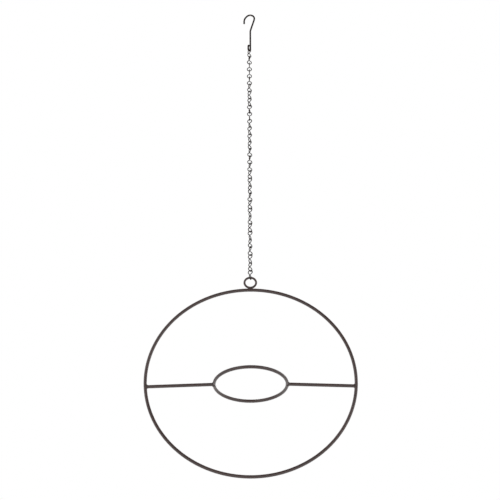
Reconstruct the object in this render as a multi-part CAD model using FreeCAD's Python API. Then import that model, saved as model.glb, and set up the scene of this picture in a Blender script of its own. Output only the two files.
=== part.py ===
"""Hanging pot ring: a wire hook, a single jack chain and a welded round-rod hoop with a pot ring.

Frame: +Z up, X across the hoop, Y through the hoop. The origin is the seat of the hook, the
highest point inside its crook, where the whole object hangs. Millimetres.
"""
import FreeCAD, Part
import math
import os

V = FreeCAD.Vector

# Hook, bent from one wire
HOOK_WIRE = 3.5
HOOK_REACH = 92.6                 # seat to the inside bottom of the hook's eye
CROOK_RADIUS = 8.6                # centreline bend over the top of the crook
CROOK_ENTRY_RADIUS = 20.0         # flatter bend that runs down to the tip
CROOK_ENTRY_TURN = 51.0           # degrees turned by that flatter bend
TIP_LENGTH = 5.5                  # straight end of the crook
CRANK_RADIUS = 20.0               # bends at both ends of the slanted run
CRANK_TURN = 15.4                 # degrees that the slanted run leans
HOOK_EYE_HEIGHT = 10.0            # inside height of the closed oval eye
HOOK_EYE_TURN = 40.0              # degrees about Z from the plane of the crook to that of the eye
WIRE_END_ROUND = 0.4              # rounding of the hook's cut tip

# Single jack chain: two round loops per link, a quarter turn apart
CHAIN_WIRE = 1.8
LINK_INSIDE = 18.2                # inside top of one loop to the inside bottom of the other
LOOP_WIDTH = 10.4                 # outside width of a loop
RUNNING_GAP = 0.2                 # clearance where two wires hang in one another
END_GAP = 0.15                    # clearance between a cut wire end and the strand it closes on

# Degrees about Z of each link's upper loop, from the hook down: 0 lies in the hoop's plane
LINK_TWISTS = (130, 105, 90, 90, 95, 115, 135, 145, 165, 175, 160, 150, 150, 135, 110, 105,
               110, 125, 150, 135, 110, 125, 150, 120, 130, 155, 125, 115, 145, 130, 155)

# Small ring that stands on the hoop and takes the last link
EYE_RING_WIRE = 4.2
EYE_RING_OUTER = 26.5

# Hoop, two bars and pot ring, all of round rod
HOOP_ROD = 6.35
HOOP_OUTER = 400.0
BAR_ROD = 6.35
POT_RING_ROD = 6.35
POT_RING_INNER = 130.0
BAR_DROP = 12.0                   # bars' outer ends below the centre of the hoop
POT_RING_DROP = 7.5               # pot ring below the centre of the hoop

# Weld beads
BAR_WELD_THROAT = 1.4             # bead's height above the bar
EYE_WELD_RADIUS = 3.6
WELD_ROOT = 0.1                   # gap that a bead closes between two rods
COPE_SHARE = 0.3                  # of a rod's radius, between its centre and the ends of a coped bar

# Worked out from the sizes above
hook_bend = (CHAIN_WIRE + 2 * RUNNING_GAP + HOOK_WIRE) / 2
eye_turn = math.radians(HOOK_EYE_TURN)
chain_x = -hook_bend * math.cos(eye_turn)
chain_y = -hook_bend * math.sin(eye_turn)
link_pitch = LINK_INSIDE - RUNNING_GAP
half_link = (LINK_INSIDE + CHAIN_WIRE) / 2
first_top_wire_z = -HOOK_REACH + RUNNING_GAP + CHAIN_WIRE / 2
first_neck_z = first_top_wire_z - half_link
last_neck_z = first_neck_z - (len(LINK_TWISTS) - 1) * link_pitch
eye_radius = (EYE_RING_OUTER - EYE_RING_WIRE) / 2
eye_top_wire_z = last_neck_z - half_link + (CHAIN_WIRE + EYE_RING_WIRE) / 2 + RUNNING_GAP
eye_centre_z = eye_top_wire_z - eye_radius
eye_bottom_z = eye_centre_z - EYE_RING_OUTER / 2
hoop_radius = (HOOP_OUTER - HOOP_ROD) / 2
hoop_centre_z = eye_bottom_z - WELD_ROOT - HOOP_OUTER / 2
pot_radius = (POT_RING_INNER + POT_RING_ROD) / 2
pot_ring_z = hoop_centre_z - POT_RING_DROP
bar_end_x = math.sqrt(hoop_radius ** 2 - BAR_DROP ** 2)


def in_hoop_plane(across, height):
    """Point of the upright plane through the chain that the hoop lies in; across is from the chain."""
    return V(chain_x + across, chain_y, height)


def bent_wire(start, heading, runs, wire):
    """One round wire along straight and bent runs from start.

    A run is (length,) or (bend radius, degrees, axis); it turns right-handed about the axis.
    """
    place, pointing, pieces = V(start), V(heading), []
    for run in runs:
        section = Part.Face(Part.Wire(Part.makeCircle(wire / 2, place, pointing)))
        if len(run) == 1:
            pieces.append(section.extrude(pointing * run[0]))
            place = place + pointing * run[0]
            continue
        radius, degrees, axis = run
        centre = place + axis.cross(pointing) * radius
        pieces.append(section.revolve(centre, axis, degrees))
        turn = FreeCAD.Rotation(axis, degrees)
        place = centre + turn.multVec(place - centre)
        pointing = turn.multVec(pointing)
    return joined(pieces)


def joined(pieces):
    return pieces[0].multiFuse(pieces[1:]).removeSplitter().Solids[0]


def closed_ring(centre, axis, radius, wire):
    return Part.makeTorus(radius, wire / 2, centre, axis)


def hook():
    """Crook, slanted run and straight shank in the XZ plane, and a closed oval eye turned from it."""
    top = V(0, 0, HOOK_WIRE / 2)
    over, back = V(0, 1, 0), V(0, -1, 0)
    eye_over = V(-math.sin(eye_turn), math.cos(eye_turn), 0)
    tip_half = bent_wire(top, V(-1, 0, 0), [
        (CROOK_RADIUS, 90 - CROOK_ENTRY_TURN, back),
        (CROOK_ENTRY_RADIUS, CROOK_ENTRY_TURN, back),
        (TIP_LENGTH,),
    ], HOOK_WIRE)
    lean = math.radians(CRANK_TURN)
    slant = (CROOK_RADIUS - 2 * CRANK_RADIUS * (1 - math.cos(lean))) / math.sin(lean)
    crank_drop = 2 * CRANK_RADIUS * math.sin(lean) + slant * math.cos(lean)
    shank = HOOK_REACH + HOOK_WIRE - CROOK_RADIUS - crank_drop - hook_bend
    eye_side = HOOK_EYE_HEIGHT + HOOK_WIRE - 2 * hook_bend
    closing = hook_bend - HOOK_WIRE / 2 - END_GAP
    eye_half = bent_wire(top, V(1, 0, 0), [
        (CROOK_RADIUS, 90, over),
        (CRANK_RADIUS, CRANK_TURN, over),
        (slant,),
        (CRANK_RADIUS, CRANK_TURN, back),
        (shank,),
        (hook_bend, 180, eye_over),
        (eye_side,),
        (hook_bend, 90, eye_over),
        (closing,),
    ], HOOK_WIRE)
    body = joined([tip_half, eye_half])
    tip_side = [edge for edge in body.Edges if edge.CenterOfMass.x < -CROOK_RADIUS]
    tip = min(tip_side, key=lambda edge: edge.CenterOfMass.z)
    return body.makeFillet(WIRE_END_ROUND, [tip])


def chain_link():
    """Figure-eight link about its neck: upper loop in XZ, lower loop in YZ, from one wire."""
    loop_radius = (LOOP_WIDTH - CHAIN_WIRE) / 2
    loop_rise = half_link - loop_radius
    waist_radius = (loop_rise ** 2 - loop_radius ** 2) / (2 * loop_radius)
    waist_turn = math.degrees(math.atan2(loop_rise, waist_radius))
    end_turn = math.degrees(math.acos(1 - (CHAIN_WIRE + END_GAP) / (2 * waist_radius)))
    right, left = V(0, 1, 0), V(0, -1, 0)
    loop = bent_wire(V(0, 0, 0), V(0, 0, 1), [
        (waist_radius, waist_turn, right),
        (loop_radius, 180 + 2 * waist_turn, left),
        (waist_radius, waist_turn - end_turn, right),
    ], CHAIN_WIRE)
    other = loop.copy()
    other.rotate(V(0, 0, 0), V(1, 1, 0), 180)
    return joined([loop, other])


def chain():
    """Every link hangs in the one above it, each turned by its own twist."""
    pattern = chain_link()
    links = {}
    for count, twist in enumerate(LINK_TWISTS):
        link = pattern.copy()
        link.rotate(V(0, 0, 0), V(0, 0, 1), twist)
        link.translate(in_hoop_plane(0, first_neck_z - count * link_pitch))
        links["link_%02d" % (count + 1)] = link
    return links


def bar(side, hoop, pot_ring):
    """Rod from the hoop to the pot ring, coped to both; side is -1 for left and 1 for right."""
    outer = in_hoop_plane(side * bar_end_x, hoop_centre_z - BAR_DROP)
    inner = in_hoop_plane(side * pot_radius, pot_ring_z)
    along = (inner - outer).normalize()
    start = outer + along * (HOOP_ROD / 2 * COPE_SHARE)
    length = (inner - start).Length - POT_RING_ROD / 2 * COPE_SHARE
    rod = Part.makeCylinder(BAR_ROD / 2, length, start, along).cut(hoop).cut(pot_ring)
    hoop_joint = outer + along * (HOOP_ROD / 2)
    ring_joint = inner - along * (POT_RING_ROD / 2)
    return rod.Solids[0], hoop_joint, ring_joint


def bead(centre, radius, rods):
    """Weld bead: a ball about the joint, less the rods that it joins."""
    ball = Part.makeSphere(radius, centre)
    for rod in rods:
        ball = ball.cut(rod)
    return max(ball.Solids, key=lambda solid: solid.Volume)


def frame():
    """Hanging ring, hoop, bars, pot ring and their welds."""
    eye_ring = closed_ring(in_hoop_plane(0, eye_centre_z), V(0, 1, 0), eye_radius, EYE_RING_WIRE)
    hoop = closed_ring(in_hoop_plane(0, hoop_centre_z), V(0, 1, 0), hoop_radius, HOOP_ROD)
    pot_ring = closed_ring(in_hoop_plane(0, pot_ring_z), V(0, 0, 1), pot_radius, POT_RING_ROD)
    parts = {"eye_ring": eye_ring, "hoop": hoop, "pot_ring": pot_ring}
    parts["eye_weld"] = bead(in_hoop_plane(0, eye_bottom_z), EYE_WELD_RADIUS, [eye_ring, hoop])
    bar_weld_radius = BAR_ROD / 2 + BAR_WELD_THROAT
    for name, side in (("left", -1), ("right", 1)):
        rod, hoop_joint, ring_joint = bar(side, hoop, pot_ring)
        parts[name + "_bar"] = rod
        parts[name + "_hoop_weld"] = bead(hoop_joint, bar_weld_radius, [rod, hoop])
        parts[name + "_ring_weld"] = bead(ring_joint, bar_weld_radius, [rod, pot_ring])
    return parts


def main():
    os.makedirs("parts", exist_ok=True)
    parts = {"hook": hook()}
    parts.update(chain())
    parts.update(frame())
    for name, shape in parts.items():
        shape.exportStep("parts/%s.step" % name)
        print(name, len(shape.Solids), shape.isValid(), round(shape.Volume, 2))


main()
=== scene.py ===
# %% [markdown]
# # A hanging ring for one plant pot
#
# The object is a wire hook, a chain of figure-eight links, and a big upright hoop of round rod
# with two short bars that carry a level ring. A plant pot drops into that ring.
#
# A imported CAD model gives the true sizes and says what moves. It is loaded first and never
# changed. The pieces that show are then modelled again, finer, on top of it; each one is told
# which CAD body it moves with, and the CAD node that it stands for is hidden.

# %% Load the frame
import math
import random

import bpy
from mathutils import Matrix, Vector


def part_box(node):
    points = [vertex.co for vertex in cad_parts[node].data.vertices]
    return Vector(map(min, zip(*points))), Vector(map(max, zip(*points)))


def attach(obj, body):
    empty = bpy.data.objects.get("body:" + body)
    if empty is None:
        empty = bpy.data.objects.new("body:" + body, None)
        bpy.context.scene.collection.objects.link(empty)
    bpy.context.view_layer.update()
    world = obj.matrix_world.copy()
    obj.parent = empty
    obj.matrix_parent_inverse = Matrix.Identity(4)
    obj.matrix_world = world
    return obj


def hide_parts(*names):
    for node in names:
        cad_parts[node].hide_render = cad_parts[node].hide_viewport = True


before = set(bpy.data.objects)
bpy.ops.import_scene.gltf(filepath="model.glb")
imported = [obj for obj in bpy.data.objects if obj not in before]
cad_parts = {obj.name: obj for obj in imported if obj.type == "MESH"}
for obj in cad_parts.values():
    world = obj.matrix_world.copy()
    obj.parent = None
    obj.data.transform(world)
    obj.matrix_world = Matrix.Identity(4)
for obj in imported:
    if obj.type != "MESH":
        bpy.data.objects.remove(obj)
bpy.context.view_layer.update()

# %% [markdown]
# ## Sizes
#
# Everything is in metres. A size could be typed in again for each piece, but two lists of numbers
# drift apart. So each size that can be read is read from the box of its CAD node: the middle of
# the hoop's box is the middle of the hoop, and the thickness of the box is the rod.

# %% Read the sizes
MM = 0.001


def measured(node):
    """Middle and size of a node's box."""
    low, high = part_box(node)
    return (low + high) / 2, high - low


hoop_middle, hoop_size = measured("hoop")
pot_ring_middle, pot_ring_size = measured("pot_ring")
eye_ring_middle, eye_ring_size = measured("eye_ring")
hoop_rod = hoop_size.y / 2
pot_ring_rod = pot_ring_size.z / 2
eye_ring_wire = eye_ring_size.y / 2
hoop_bend = hoop_size.z / 2 - hoop_rod
pot_ring_bend = pot_ring_size.x / 2 - pot_ring_rod
eye_ring_bend = eye_ring_size.z / 2 - eye_ring_wire
link_nodes = sorted(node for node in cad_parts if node.startswith("link_"))
print("links:", len(link_nodes), "rod radius:", round(hoop_rod, 5),
      "bend radius:", round(hoop_bend, 5))

# %% [markdown]
# ## The camera
#
# The photograph is taken from well below the hoop: the level ring shows its near half as the
# upper half of an ellipse, and the chain's links look shorter towards the top. A long lens a few
# metres away gives the same picture. The camera is rolled by a quarter of a degree, because the
# object hangs that much out of upright in the picture. The object could be turned instead, but
# then it would no longer lie square in its frame.

# %% Make the camera
CAMERA_PLACE = Vector((-0.0025, -3.0900, -2.5192))
CAMERA_TILT = math.radians(90 + 32.06)
CAMERA_ROLL = math.radians(-0.24)
CAMERA_LENS = 134.72
CAMERA_SENSOR = 36.0

aim = Matrix.Rotation(CAMERA_TILT, 3, "X") @ Matrix.Rotation(CAMERA_ROLL, 3, "Z")
bpy.ops.object.select_all(action="DESELECT")
bpy.ops.object.camera_add(location=CAMERA_PLACE, rotation=aim.to_euler())
camera = bpy.context.object
camera.data.lens = CAMERA_LENS
camera.data.sensor_width = CAMERA_SENSOR
bpy.context.scene.camera = camera
print("camera:", [round(x, 3) for x in camera.location])

# %% [markdown]
# ## The studio
#
# A product like this is photographed in front of white paper under large soft lights. The white
# should not come from stronger light, which would wash out the dark steel. So rays from the
# camera, and rays that reflections send out, see a white world, while the light that falls on the
# object is set apart from it at a plain level.
#
# Round rods show the whole room in a thin stripe. In the picture their upper side is darker than
# their lower side, so what they mirror high up in front, where a real studio is darkest, is grey.

# %% Light the world
ROOM_LIGHT = 0.55
DARK_SIDE = (0.0, -0.6, 0.8)
DARK_FULLY_AT = 0.8
DARK_GREY = 0.12


def add_node(tree, kind, inputs=None, **settings):
    """A shader node with its settings, and the values of the inputs that are named or numbered."""
    node = tree.nodes.new(kind)
    for name, value in settings.items():
        setattr(node, name, value)
    for name, value in (inputs or {}).items():
        node.inputs[name].default_value = value
    return node


def white_for_eyes(tree):
    """1 for rays from the camera, from reflections and through glass, and 0 for light.

    It comes with the node that tells the rays apart.
    """
    rays = add_node(tree, "ShaderNodeLightPath")
    first = add_node(tree, "ShaderNodeMath", operation="MAXIMUM")
    both = add_node(tree, "ShaderNodeMath", operation="MAXIMUM")
    tree.links.new(rays.outputs["Is Camera Ray"], first.inputs[0])
    tree.links.new(rays.outputs["Is Glossy Ray"], first.inputs[1])
    tree.links.new(first.outputs[0], both.inputs[0])
    tree.links.new(rays.outputs["Is Transmission Ray"], both.inputs[1])
    return both.outputs[0], rays


world = bpy.data.worlds.new("white studio")
bpy.context.scene.world = world
world.use_nodes = True
tree = world.node_tree
tree.nodes.clear()
seen, rays = white_for_eyes(tree)
coordinates = add_node(tree, "ShaderNodeTexCoord")
facing = add_node(tree, "ShaderNodeVectorMath", {1: DARK_SIDE}, operation="DOT_PRODUCT")
shade = add_node(tree, "ShaderNodeMapRange",
                 {"From Min": 0.0, "From Max": DARK_FULLY_AT, "To Min": 1.0, "To Max": DARK_GREY},
                 interpolation_type="SMOOTHSTEP")
keep = add_node(tree, "ShaderNodeMath", operation="MAXIMUM")
paper = add_node(tree, "ShaderNodeBackground", {"Color": (1, 1, 1, 1)})
light = add_node(tree, "ShaderNodeBackground", {"Color": (1, 1, 1, 1), "Strength": ROOM_LIGHT})
pick = add_node(tree, "ShaderNodeMixShader")
out = add_node(tree, "ShaderNodeOutputWorld")
tree.links.new(coordinates.outputs["Generated"], facing.inputs[0])
tree.links.new(facing.outputs["Value"], shade.inputs["Value"])
tree.links.new(shade.outputs["Result"], keep.inputs[0])
tree.links.new(rays.outputs["Is Camera Ray"], keep.inputs[1])
tree.links.new(keep.outputs[0], paper.inputs["Strength"])
tree.links.new(seen, pick.inputs["Fac"])
tree.links.new(light.outputs[0], pick.inputs[1])
tree.links.new(paper.outputs[0], pick.inputs[2])
tree.links.new(pick.outputs[0], out.inputs["Surface"])
bpy.context.scene.view_settings.view_transform = "Standard"
print("room light:", ROOM_LIGHT)

# %% [markdown]
# Three big square lamps stand round the hoop. One lamp alone would leave the far side of each
# link black. Their strength is set so that a mid grey comes out as the grey that was written.

# %% Set up the lamps
LAMPS = (
    ("key softbox", (-2.2, -2.6, 1.6), 34),
    ("fill softbox", (2.8, -2.2, 0.2), 20),
    ("back softbox", (0.6, 3.0, 0.6), 20),
)
LAMP_SIDE = 2.6
for name, place, watts in LAMPS:
    way = (hoop_middle - Vector(place)).to_track_quat("-Z", "Y")
    bpy.ops.object.select_all(action="DESELECT")
    bpy.ops.object.light_add(type="AREA", location=place, rotation=way.to_euler())
    lamp = bpy.context.object
    lamp.name = name
    lamp.data.shape = "SQUARE"
    lamp.data.size = LAMP_SIDE
    lamp.data.energy = watts
print("lamps:", len(LAMPS))

# %% [markdown]
# The floor lies below the camera, so that nothing comes between the lens and the hoop. It is pale
# paper: light bounces off it as off any matt white, and the camera and reflections see it white.

# %% Lay the floor
FLOOR_DEPTH = -3.3
FLOOR_SIDE = 400.0
GLOW_SHARE = 0.85
PAPER_TONE = (0.88, 0.88, 0.88, 1)

bpy.ops.object.select_all(action="DESELECT")
bpy.ops.mesh.primitive_plane_add(size=FLOOR_SIDE, location=(0, 0, FLOOR_DEPTH))
floor = bpy.context.object
floor.name = "floor"
material = bpy.data.materials.new("pale floor")
material.use_nodes = True
tree = material.node_tree
tree.nodes.clear()
seen = white_for_eyes(tree)[0]
most = add_node(tree, "ShaderNodeMath", {1: GLOW_SHARE}, operation="MULTIPLY")
matt = add_node(tree, "ShaderNodeBsdfDiffuse", {"Color": PAPER_TONE})
glow = add_node(tree, "ShaderNodeEmission", {"Color": (1, 1, 1, 1), "Strength": 1.0})
pick = add_node(tree, "ShaderNodeMixShader")
out = add_node(tree, "ShaderNodeOutputMaterial")
tree.links.new(seen, most.inputs[0])
tree.links.new(most.outputs[0], pick.inputs["Fac"])
tree.links.new(matt.outputs[0], pick.inputs[1])
tree.links.new(glow.outputs[0], pick.inputs[2])
tree.links.new(pick.outputs[0], out.inputs["Surface"])
floor.data.materials.append(material)
print("floor at:", FLOOR_DEPTH)

# %% [markdown]
# ## Shared finish effects
#
# All the steel carries a thin dark brown coat. Three effects make it look real from close by, and
# every material uses them, so each is a node group with its own inputs. The grain is the faint
# orange peel of a baked powder coat. The drift is the slow change of tone from thin to thick
# coat. The rub is where steel slides on steel and the coat wears through to metal. It could be
# worked out from the edges of a mesh, but here it is known exactly where a link rubs, so the mesh
# carries it as an attribute that is painted when the piece is made.

# %% Build the node groups
RUB_NAME = "rubbed"
FINER_DOTS = 3.7
SPECKLE_SHARE = 0.7


def new_group(name, inputs, outputs):
    """An empty node group with its sockets, and its two end nodes."""
    group = bpy.data.node_groups.new(name, "ShaderNodeTree")
    for label, kind, value in inputs:
        socket = group.interface.new_socket(name=label, in_out="INPUT", socket_type=kind)
        socket.default_value = value
    for label, kind in outputs:
        group.interface.new_socket(name=label, in_out="OUTPUT", socket_type=kind)
    return group, group.nodes.new("NodeGroupInput"), group.nodes.new("NodeGroupOutput")


def coat_grain_group():
    """Faint orange peel with finer dots in it, as a height."""
    group, given, result = new_group(
        "coat grain",
        [("Scale", "NodeSocketFloat", 900.0), ("Fine share", "NodeSocketFloat", 0.35)],
        [("Height", "NodeSocketFloat")])
    place = add_node(group, "ShaderNodeTexCoord")
    peel = add_node(group, "ShaderNodeTexNoise", {"Detail": 1.0, "Roughness": 0.4})
    finer = add_node(group, "ShaderNodeMath", {1: FINER_DOTS}, operation="MULTIPLY")
    dots = add_node(group, "ShaderNodeTexNoise", {"Detail": 2.0, "Roughness": 0.6})
    blend = add_node(group, "ShaderNodeMix", data_type="FLOAT")
    group.links.new(place.outputs["Object"], peel.inputs["Vector"])
    group.links.new(place.outputs["Object"], dots.inputs["Vector"])
    group.links.new(given.outputs["Scale"], peel.inputs["Scale"])
    group.links.new(given.outputs["Scale"], finer.inputs[0])
    group.links.new(finer.outputs[0], dots.inputs["Scale"])
    group.links.new(given.outputs["Fine share"], blend.inputs["Factor"])
    group.links.new(peel.outputs["Fac"], blend.inputs["A"])
    group.links.new(dots.outputs["Fac"], blend.inputs["B"])
    group.links.new(blend.outputs["Result"], result.inputs["Height"])
    return group


def tone_drift_group():
    """Slow change from thin to thick coat, as a colour and as a mask."""
    group, given, result = new_group(
        "tone drift",
        [("Thin coat", "NodeSocketColor", (0.05, 0.03, 0.03, 1)),
         ("Thick coat", "NodeSocketColor", (0.03, 0.02, 0.02, 1)),
         ("Scale", "NodeSocketFloat", 25.0)],
        [("Color", "NodeSocketColor"), ("Mask", "NodeSocketFloat")])
    place = add_node(group, "ShaderNodeTexCoord")
    clouds = add_node(group, "ShaderNodeTexNoise", {"Detail": 4.0, "Roughness": 0.55})
    spread = add_node(group, "ShaderNodeMapRange", {"From Min": 0.35, "From Max": 0.65})
    blend = add_node(group, "ShaderNodeMix", data_type="RGBA")
    group.links.new(place.outputs["Object"], clouds.inputs["Vector"])
    group.links.new(given.outputs["Scale"], clouds.inputs["Scale"])
    group.links.new(clouds.outputs["Fac"], spread.inputs["Value"])
    group.links.new(spread.outputs["Result"], blend.inputs["Factor"])
    group.links.new(given.outputs["Thin coat"], blend.inputs["A"])
    group.links.new(given.outputs["Thick coat"], blend.inputs["B"])
    group.links.new(blend.outputs["Result"], result.inputs["Color"])
    group.links.new(spread.outputs["Result"], result.inputs["Mask"])
    return group


def rub_group():
    """1 where the coat is worn through, with a ragged edge."""
    group, given, result = new_group(
        "rubbed through",
        [("Amount", "NodeSocketFloat", 1.0), ("Scale", "NodeSocketFloat", 700.0)],
        [("Mask", "NodeSocketFloat")])
    painted = add_node(group, "ShaderNodeAttribute", attribute_name=RUB_NAME)
    place = add_node(group, "ShaderNodeTexCoord")
    speckle = add_node(group, "ShaderNodeTexNoise", {"Detail": 3.0, "Roughness": 0.7})
    ragged = add_node(group, "ShaderNodeMath", {1: SPECKLE_SHARE}, operation="MULTIPLY_ADD")
    edge = add_node(group, "ShaderNodeMath", operation="MULTIPLY")
    cut = add_node(group, "ShaderNodeMapRange", {"From Min": 0.62, "From Max": 0.95})
    group.links.new(place.outputs["Object"], speckle.inputs["Vector"])
    group.links.new(given.outputs["Scale"], speckle.inputs["Scale"])
    group.links.new(painted.outputs["Fac"], edge.inputs[0])
    group.links.new(given.outputs["Amount"], edge.inputs[1])
    group.links.new(speckle.outputs["Fac"], ragged.inputs[0])
    group.links.new(edge.outputs[0], ragged.inputs[2])
    group.links.new(ragged.outputs[0], cut.inputs["Value"])
    group.links.new(cut.outputs["Result"], result.inputs["Mask"])
    return group


coat_grain = coat_grain_group()
tone_drift = tone_drift_group()
rubbed_through = rub_group()
print("groups:", [group.name for group in bpy.data.node_groups])

# %% [markdown]
# ## The finishes
#
# A painted wire is not one colour: the coat is thinner and browner in places, it has a fine
# grain, and bare steel shows where links rub. One recipe serves all four finishes, each with its
# own colours, because they are the same paint on different stock. Separate recipes would only
# differ by accident.

# %% Mix the coated steel finishes
BARE_STEEL = (0.33, 0.29, 0.26, 1)
COAT_ROUGHNESS = 0.22
THIN_COAT_SMOOTHER = 0.04
THICK_COAT_ROUGHER = 0.05
RELIEF_STRENGTH = 0.6


def coated_steel(name, thin, thick, roughness, gloss, lacquer, grain_scale, grain_depth):
    """Satin dark paint on steel, worn to the metal where the mesh says so."""
    material = bpy.data.materials.new(name)
    material.use_nodes = True
    tree = material.node_tree
    steel = tree.nodes["Principled BSDF"]
    steel.inputs["Specular IOR Level"].default_value = gloss
    steel.inputs["Coat Weight"].default_value = lacquer
    steel.inputs["Coat Roughness"].default_value = COAT_ROUGHNESS
    drift = add_node(tree, "ShaderNodeGroup", node_tree=tone_drift)
    drift.inputs["Thin coat"].default_value = (*thin, 1)
    drift.inputs["Thick coat"].default_value = (*thick, 1)
    grain = add_node(tree, "ShaderNodeGroup", node_tree=coat_grain)
    grain.inputs["Scale"].default_value = grain_scale
    worn = add_node(tree, "ShaderNodeGroup", node_tree=rubbed_through)
    colour = add_node(tree, "ShaderNodeMix", data_type="RGBA")
    colour.inputs["B"].default_value = BARE_STEEL
    matt = add_node(tree, "ShaderNodeMapRange", {"To Min": roughness - THIN_COAT_SMOOTHER,
                                                 "To Max": roughness + THICK_COAT_ROUGHER})
    relief = add_node(tree, "ShaderNodeBump", {"Strength": RELIEF_STRENGTH,
                                               "Distance": grain_depth})
    tree.links.new(drift.outputs["Color"], colour.inputs["A"])
    tree.links.new(worn.outputs["Mask"], colour.inputs["Factor"])
    tree.links.new(colour.outputs["Result"], steel.inputs["Base Color"])
    tree.links.new(worn.outputs["Mask"], steel.inputs["Metallic"])
    tree.links.new(drift.outputs["Mask"], matt.inputs["Value"])
    tree.links.new(matt.outputs["Result"], steel.inputs["Roughness"])
    tree.links.new(grain.outputs["Height"], relief.inputs["Height"])
    tree.links.new(relief.outputs["Normal"], steel.inputs["Normal"])
    return material


finishes = {
    "hook_steel": coated_steel(
        "hook coat", thin=(0.020, 0.008, 0.005), thick=(0.011, 0.004, 0.002),
        roughness=0.34, gloss=0.25, lacquer=0.0, grain_scale=1100, grain_depth=0.08 * MM),
    "chain_steel": coated_steel(
        "chain coat", thin=(0.020, 0.010, 0.007), thick=(0.010, 0.005, 0.003),
        roughness=0.34, gloss=0.25, lacquer=0.0, grain_scale=1400, grain_depth=0.06 * MM),
    "frame_steel": coated_steel(
        "frame coat", thin=(0.068, 0.037, 0.032), thick=(0.050, 0.026, 0.024),
        roughness=0.32, gloss=0.5, lacquer=0.55, grain_scale=900, grain_depth=0.10 * MM),
    "weld_steel": coated_steel(
        "weld coat", thin=(0.056, 0.031, 0.026), thick=(0.034, 0.018, 0.016),
        roughness=0.40, gloss=0.5, lacquer=0.4, grain_scale=700, grain_depth=0.16 * MM),
}
print("finishes:", sorted(finishes))

# %% [markdown]
# ## How the wires are bent
#
# Everything here is round wire, bent over pins. The same is done to a ring of points: it is the
# cut end of the wire, pulled straight by an extrusion and round a bend by a spin. A curve with a
# round bevel would be quicker, but its sections bunch up at tight bends, and it has to be turned
# into a mesh at the end anyway.

# %% Pull a ring of points into a wire
BEND_STEP = 5.0
SAME_PLACE = 0.001 * MM
SHARP_ANGLE = 40.0


def start_wire(place, heading, radius, sides):
    """The cut end of a wire, square to heading, selected in edit mode."""
    turn = Vector(heading).to_track_quat("Z", "Y")
    bpy.ops.object.select_all(action="DESELECT")
    bpy.ops.mesh.primitive_circle_add(vertices=sides, radius=radius, location=place,
                                      rotation=turn.to_euler())
    wire = bpy.context.object
    bpy.ops.object.transform_apply(location=True, rotation=True, scale=True)
    bpy.ops.object.mode_set(mode="EDIT")
    bpy.ops.mesh.select_mode(type="VERT")
    bpy.ops.mesh.select_all(action="SELECT")
    return wire


def pull_wire(place, heading, runs, step=BEND_STEP):
    """Pull the selected ring along its runs; a run is (length,) or (bend radius, degrees, axis).

    A bend turns right-handed about its axis, in steps of about so many degrees.
    """
    place, heading = Vector(place), Vector(heading)
    for run in runs:
        if len(run) == 1:
            bpy.ops.mesh.extrude_region_move(TRANSFORM_OT_translate={"value": heading * run[0]})
            place = place + heading * run[0]
            continue
        radius, degrees, axis = run
        centre = place + axis.cross(heading) * radius
        bpy.ops.mesh.spin(steps=max(2, round(degrees / step)), angle=-math.radians(degrees),
                          center=centre, axis=axis)
        turn = Matrix.Rotation(math.radians(degrees), 3, axis)
        place = centre + turn @ (place - centre)
        heading = turn @ heading
    return place, heading


def pick_edges(piece, wanted):
    """Go into edit mode with only those edges selected whose two ends are wanted."""
    bpy.ops.object.mode_set(mode="EDIT")
    bpy.ops.mesh.select_mode(type="EDGE")
    bpy.ops.mesh.select_all(action="DESELECT")
    bpy.ops.object.mode_set(mode="OBJECT")
    points = piece.data.vertices
    for edge in piece.data.edges:
        edge.select = all(wanted(points[end].co) for end in edge.vertices)
    bpy.ops.object.mode_set(mode="EDIT")


def close_piece():
    """Close open ends, point every face outwards and leave edit mode with smooth shading."""
    bpy.ops.mesh.select_all(action="SELECT")
    bpy.ops.mesh.remove_doubles(threshold=SAME_PLACE)
    bpy.ops.mesh.fill_holes(sides=0)
    bpy.ops.mesh.select_all(action="SELECT")
    bpy.ops.mesh.normals_make_consistent(inside=False)
    bpy.ops.object.mode_set(mode="OBJECT")
    bpy.ops.object.shade_smooth_by_angle(angle=math.radians(SHARP_ANGLE))


print("wire tools are ready")

# %% [markdown]
# Two more helpers finish each piece. One paints how much the coat is rubbed at each point, and
# the other gives a piece its name, finish and body, and hides the CAD node it stands for.

# %% Paint the rub and dress a piece
def paint_rub(piece, spots, reach):
    """1 at the spots where steel rubs on steel, down to 0 at reach from them."""
    rub = piece.data.attributes.new(RUB_NAME, "FLOAT", "POINT")
    for point, value in zip(piece.data.vertices, rub.data):
        nearest = min((point.co - Vector(spot)).length for spot in spots)
        value.value = max(0.0, 1.0 - nearest / reach)


def dress(piece, name, body, node, slot):
    """Give a piece its name and finish and the body it moves with, and hide the node it stands
    for.
    """
    piece.name = name
    piece.data.name = name
    piece.data.materials.clear()
    piece.data.materials.append(finishes[slot])
    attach(piece, body)
    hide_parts(node)


# %% [markdown]
# ## The hook
#
# The hook is one wire: a crook that hangs over a bracket, a slanted run that brings the shank
# back under the crook's top, and an oval eye that is closed against the shank. The eye is turned
# out of the plane of the crook, so it looks narrow from the front. The wire is pulled from its
# tip to its closing end in one go, so that no seam shows. Its tip is then rounded with a bevel,
# as a file would do.

# %% Bend the hook
CROOK_RADIUS = 8.6 * MM
ENTRY_RADIUS = 20.0 * MM
ENTRY_TURN = 51.0
TIP_LENGTH = 5.5 * MM
CRANK_RADIUS = 20.0 * MM
CRANK_TURN = 15.4
EYE_INSIDE_HEIGHT = 10.0 * MM
CUT_END_GAP = 0.15 * MM
TIP_ROUND = 0.4 * MM
TIP_ROUND_STEPS = 3
TIP_MARGIN = 0.01 * MM
HOOK_SIDES = 24
HOOK_RUB_REACH = 3.0 * MM

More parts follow.
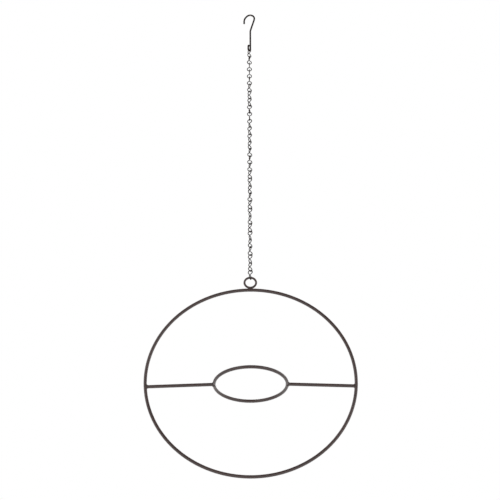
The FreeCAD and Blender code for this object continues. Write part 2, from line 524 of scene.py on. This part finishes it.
hook_low, hook_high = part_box("hook")
hook_wire = hook_high.z / 2
over = Vector((0, 1, 0))
back = Vector((0, -1, 0))
chain_line = Vector((hoop_middle.x, hoop_middle.y, 0))
eye_bend = chain_line.length
eye_over = Vector((0, 0, 1)).cross(-chain_line.normalized())

entry = math.radians(90 - ENTRY_TURN)
tip_x = -CROOK_RADIUS * math.sin(entry) - ENTRY_RADIUS * (1 - math.sin(entry))
tip_z = (hook_wire - CROOK_RADIUS * (1 - math.cos(entry)) - ENTRY_RADIUS * math.cos(entry)
         - TIP_LENGTH)
tip = Vector((tip_x, 0, tip_z))
up = Vector((0, 0, 1))
hook = start_wire(tip, up, hook_wire, HOOK_SIDES)
lean = math.radians(CRANK_TURN)
slant = (CROOK_RADIUS - 2 * CRANK_RADIUS * (1 - math.cos(lean))) / math.sin(lean)
place, heading = pull_wire(tip, up, [
    (TIP_LENGTH,),
    (ENTRY_RADIUS, ENTRY_TURN, over),
    (CROOK_RADIUS, 180 - ENTRY_TURN, over),
    (CRANK_RADIUS, CRANK_TURN, over),
    (slant,),
    (CRANK_RADIUS, CRANK_TURN, back),
])
shank = place.z - (hook_low.z + hook_wire + eye_bend)
side = EYE_INSIDE_HEIGHT + 2 * hook_wire - 2 * eye_bend
pull_wire(place, heading, [
    (shank,),
    (eye_bend, 180, eye_over),
    (side,),
    (eye_bend, 90, eye_over),
    (eye_bend - hook_wire - CUT_END_GAP,),
])
close_piece()
pick_edges(hook, lambda point: (abs(point.z - tip.z) < TIP_MARGIN
                                and point.x < tip.x + 2 * hook_wire))
bpy.ops.mesh.bevel(offset=TIP_ROUND, segments=TIP_ROUND_STEPS, affect="EDGES")
bpy.ops.object.mode_set(mode="OBJECT")
seat = Vector((0, 0, 0))
eye_seat = Vector((chain_line.x, chain_line.y, hook_low.z + 2 * hook_wire))
paint_rub(hook, (seat, eye_seat), HOOK_RUB_REACH)
dress(hook, "hook_wire", "hook", "hook", "hook_steel")
print("shank:", round(shank, 4), "eye bend:", round(eye_bend, 5),
      "points:", len(hook.data.vertices))

# %% [markdown]
# ## One link of the chain
#
# A jack chain link is a figure eight whose two loops stand a quarter turn apart, and its wire
# ends close on the neck between them. Half a link is pulled from the neck, round one loop, back
# to its cut end. The other half is the same half turned over, about the line between the two
# loops' planes, so a copy of it is merged on at the neck. The full link could be pulled in one
# go, but then the two halves could differ. The loop's width is read from a link that is turned by
# exactly a quarter, so that its box is as wide as the loop.

# %% Bend the link
LINK_GAP = 0.2 * MM
LINK_SIDES = 16
LINK_RUB_REACH = 1.8 * MM
QUARTER_TURNED_LINK = "link_04"

upper, link_size = measured(link_nodes[0])
lower = measured(link_nodes[1])[0]
link_wire = (link_size.z - (upper.z - lower.z) - LINK_GAP) / 4
loop_radius = measured(QUARTER_TURNED_LINK)[1].x / 2 - link_wire
half_link = link_size.z / 2 - link_wire
rise = half_link - loop_radius
waist = (rise ** 2 - loop_radius ** 2) / (2 * loop_radius)
waist_turn = math.degrees(math.atan2(rise, waist))
end_turn = math.degrees(math.acos(1 - (2 * link_wire + CUT_END_GAP) / (2 * waist)))

half = start_wire((0, 0, 0), up, link_wire, LINK_SIDES)
pull_wire((0, 0, 0), up, [
    (waist, waist_turn, over),
    (loop_radius, 180 + 2 * waist_turn, back),
    (waist, waist_turn - end_turn, over),
])
bpy.ops.mesh.edge_face_add()
bpy.ops.object.mode_set(mode="OBJECT")
bpy.ops.object.duplicate()
other = bpy.context.object
other.matrix_world = Matrix.Rotation(math.pi, 4, Vector((1, 1, 0)))
bpy.ops.object.transform_apply(location=True, rotation=True, scale=True)
half.select_set(True)
bpy.context.view_layer.objects.active = half
bpy.ops.object.join()
bpy.ops.object.mode_set(mode="EDIT")
close_piece()
pattern = bpy.context.object
contact = half_link - link_wire
paint_rub(pattern, ((0, 0, contact), (0, 0, -contact)), LINK_RUB_REACH)
print("link wire radius:", round(link_wire, 5), "loop radius:", round(loop_radius, 5),
      "waist:", round(waist, 5))

# %% [markdown]
# ## The whole chain
#
# Each link hangs in the one above and is turned a little about the upright, as the chain in the
# picture is: some loops face the camera and some show their edge. The turn of each link is a
# guess from how wide its loops look, in steps small enough for neighbours to clear each other.
# The last two are turned 10 degrees further than they look, because the last link would touch the
# hanging ring at the end of its swing otherwise.

# %% Hang the links
LINK_TWISTS = (130, 105, 90, 90, 95, 115, 135, 145, 165, 175, 160, 150, 150, 135, 110, 105,
               110, 125, 150, 135, 110, 125, 150, 120, 130, 155, 125, 115, 145, 130, 155)

for node, twist in zip(link_nodes, LINK_TWISTS):
    middle = measured(node)[0]
    bpy.ops.object.select_all(action="DESELECT")
    pattern.select_set(True)
    bpy.context.view_layer.objects.active = pattern
    bpy.ops.object.duplicate()
    link = bpy.context.object
    link.location = (chain_line.x, chain_line.y, middle.z)
    link.rotation_euler = (0, 0, math.radians(twist))
    bpy.ops.object.transform_apply(location=True, rotation=True, scale=True)
    dress(link, "chain_" + node, node, node, "chain_steel")
bpy.data.objects.remove(pattern)
print("links hung:", len(link_nodes), "from", round(measured(link_nodes[0])[0].z, 4))

# %% [markdown]
# ## The hanging ring, the hoop and the pot ring
#
# Three rods are rolled into full rings and butt welded. The ring of points is spun once round the
# middle of each. A torus primitive would give nearly the same surface, but its two radii are
# harder to tie to the sizes that were read, and a rolled rod is what this is.

# %% Roll the three rings
ROD_SIDES = 32
EYE_RING_STEP = 4.0
HOOP_STEP = 1.5
POT_RING_STEP = 2.5
EYE_RUB_REACH = 2.4 * MM


def roll_ring(middle, axis, bend, rod, step):
    """A rod rolled into a full ring about an axis through its middle."""
    outwards = Vector((-1, 0, 0))
    start = Vector(middle) + outwards * bend
    heading = axis.cross(outwards)
    ring = start_wire(start, heading, rod, ROD_SIDES)
    pull_wire(start, heading, [(bend, 360, axis)], step)
    close_piece()
    return ring


eye_ring = roll_ring(eye_ring_middle, over, eye_ring_bend, eye_ring_wire, EYE_RING_STEP)
ring_top = eye_ring_middle + up * (eye_ring_bend - eye_ring_wire)
paint_rub(eye_ring, (ring_top,), EYE_RUB_REACH)
dress(eye_ring, "hanging_ring", "hoop_frame", "eye_ring", "frame_steel")
hoop = roll_ring(hoop_middle, over, hoop_bend, hoop_rod, HOOP_STEP)
dress(hoop, "hoop_rod", "hoop_frame", "hoop", "frame_steel")
pot_ring = roll_ring(pot_ring_middle, up, pot_ring_bend, pot_ring_rod, POT_RING_STEP)
dress(pot_ring, "pot_ring_rod", "hoop_frame", "pot_ring", "frame_steel")
print("hoop bend:", round(hoop_bend, 4), "pot ring bend:", round(pot_ring_bend, 4))

# %% [markdown]
# ## The bars
#
# A short bar on each side carries the pot ring. Its outer end meets the hoop a little below the
# middle, so it slopes up towards the ring. A sheared rod is used, so its ends are pulled square
# and reach just inside the rods that they meet, where the welds hide them.

# %% Cut the bars
BAR_DROP = 12.0 * MM
END_SHARE = 0.3

bars = {}
for name, sign in (("left", -1), ("right", 1)):
    reach = math.sqrt(hoop_bend ** 2 - BAR_DROP ** 2)
    outer = hoop_middle + Vector((sign * reach, 0, -BAR_DROP))
    inner = pot_ring_middle + Vector((sign * pot_ring_bend, 0, 0))
    along = (inner - outer).normalized()
    start = outer + along * hoop_rod * END_SHARE
    stop = inner - along * pot_ring_rod * END_SHARE
    bar = start_wire(start, along, hoop_rod, ROD_SIDES)
    pull_wire(start, along, [((stop - start).length,)])
    close_piece()
    dress(bar, name + "_bar_rod", "hoop_frame", name + "_bar", "frame_steel")
    bars[name] = (outer, inner, along)
print("bar length:", round((stop - start).length, 4))

# %% [markdown]
# ## The welds
#
# A weld bead is a row of small melted drops that run round the joint and overlap. Drops are set
# along the line where the two surfaces meet, each a little different in size, then joined, melted
# into one skin by a voxel remesh and softened. A smooth collar would be simpler, but the ripples
# are what makes a bead look welded. The seed is fixed, so that each run gives the same bead.

# %% Lay a weld bead
DROP_SKIN = 0.25 * MM
DROP_SIZES = (0.88, 1.12)
DROP_SOFTENING = 3
BEAD_SEED = 11

random.seed(BEAD_SEED)


def lay_bead(drops, radius):
    """One closed skin over melted drops at these points."""
    bpy.ops.object.select_all(action="DESELECT")
    balls = []
    for drop in drops:
        size = radius * random.uniform(*DROP_SIZES)
        bpy.ops.mesh.primitive_ico_sphere_add(subdivisions=3, radius=size, location=drop)
        balls.append(bpy.context.object)
    for ball in balls:
        ball.select_set(True)
    bpy.ops.object.join()
    bead = bpy.context.object
    bpy.ops.object.transform_apply(location=True, rotation=True, scale=True)
    melt = bead.modifiers.new("melt", "REMESH")
    melt.mode = "VOXEL"
    melt.voxel_size = DROP_SKIN
    soften = bead.modifiers.new("soften", "SMOOTH")
    soften.iterations = DROP_SOFTENING
    for modifier in ("melt", "soften"):
        bpy.ops.object.modifier_apply(modifier=modifier)
    bpy.ops.object.shade_smooth()
    return bead


def joint_line(centre, along, tangent, tube, rod, count):
    """Points where the skin of a rod meets a tube that runs along the tangent through centre."""
    tangent = (tangent - along * tangent.dot(along)).normalized()
    side = along.cross(tangent)
    points = []
    for number in range(count):
        angle = 2 * math.pi * number / count
        out = tangent * math.sin(angle) + side * math.cos(angle)
        depth = math.sqrt(max(tube ** 2 - (rod * math.cos(angle)) ** 2, 0))
        points.append(centre + along * depth + out * rod)
    return points


print("skin step:", DROP_SKIN)

# %% [markdown]
# Each bar has a bead at both ends. The hanging ring stands on the hoop, where the gap between the
# two round rods is filled from the front and from the back.

# %% Weld the joints
BAR_DROPS = 14
BAR_DROP_RADIUS = 1.35 * MM
RING_DROP_RADIUS = 1.25 * MM
RING_DROPS_ACROSS = [across * MM for across in (-2.6, -1.3, 0, 1.3, 2.6)]
RING_DROP_OUT = 1.1 * MM

for name, (outer, inner, along) in bars.items():
    radial = (outer - hoop_middle).normalized()
    line = joint_line(outer, along, over.cross(radial), hoop_rod, hoop_rod, BAR_DROPS)
    bead = lay_bead(line, BAR_DROP_RADIUS)
    dress(bead, name + "_hoop_bead", "hoop_frame", name + "_hoop_weld", "weld_steel")
    line = joint_line(inner, -along, over, pot_ring_rod, hoop_rod, BAR_DROPS)
    bead = lay_bead(line, BAR_DROP_RADIUS)
    dress(bead, name + "_ring_bead", "hoop_frame", name + "_ring_weld", "weld_steel")

foot = eye_ring_middle - up * (eye_ring_bend + eye_ring_wire)
drops = []
for sign in (-1, 1):
    for across in RING_DROPS_ACROSS:
        drops.append(foot + Vector((across, sign * RING_DROP_OUT, 0)))
bead = lay_bead(drops, RING_DROP_RADIUS)
dress(bead, "hanging_ring_bead", "hoop_frame", "eye_weld", "weld_steel")
print("beads:", 2 * len(bars) + 1, "points in the last:", len(bead.data.vertices))
